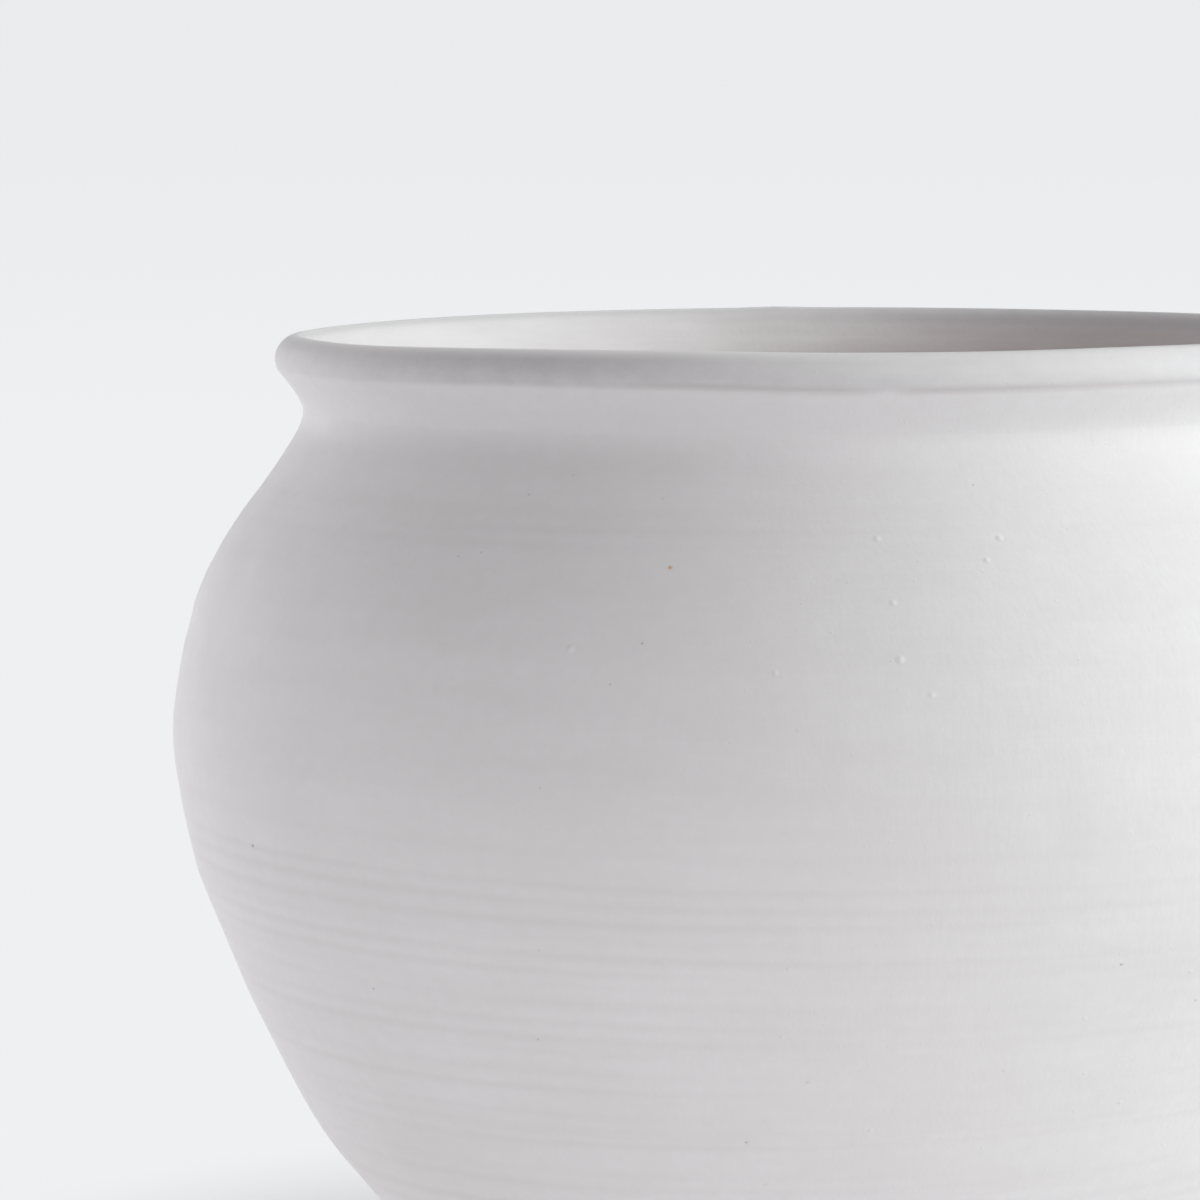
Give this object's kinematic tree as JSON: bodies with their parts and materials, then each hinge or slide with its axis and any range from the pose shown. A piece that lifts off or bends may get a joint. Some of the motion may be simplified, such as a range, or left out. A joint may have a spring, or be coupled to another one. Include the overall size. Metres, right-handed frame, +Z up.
{
  "type": "vase",
  "caption": "Squat round-bellied terracotta vase with a drawn-in neck, a rolled lip, a turned foot ring and a matt white coat, for flowers, branches or a potted plant.",
  "frame": {"origin": "centre of the foot ring's resting face, on the surface that the vase stands on", "axes": "+Z up the axis that the vase was thrown about; the vase is round, and -Y is the side that the picture shows"},
  "size_m": [0.28, 0.28, 0.218],
  "materials": {
    "clay": "matt fired terracotta",
    "joint_slip": "matt fired slip",
    "white_coat": "matt white",
    "inner_coat": "matt white, thin over the clay"
  },
  "bodies": {
    "root": {"lower_section": "clay", "upper_section": "clay", "lip_roll": "clay", "belly_joint_slip": "joint_slip", "lip_joint_slip": "joint_slip", "outer_coat": "white_coat", "inner_liner": "inner_coat"}
  },
  "joints": []
}
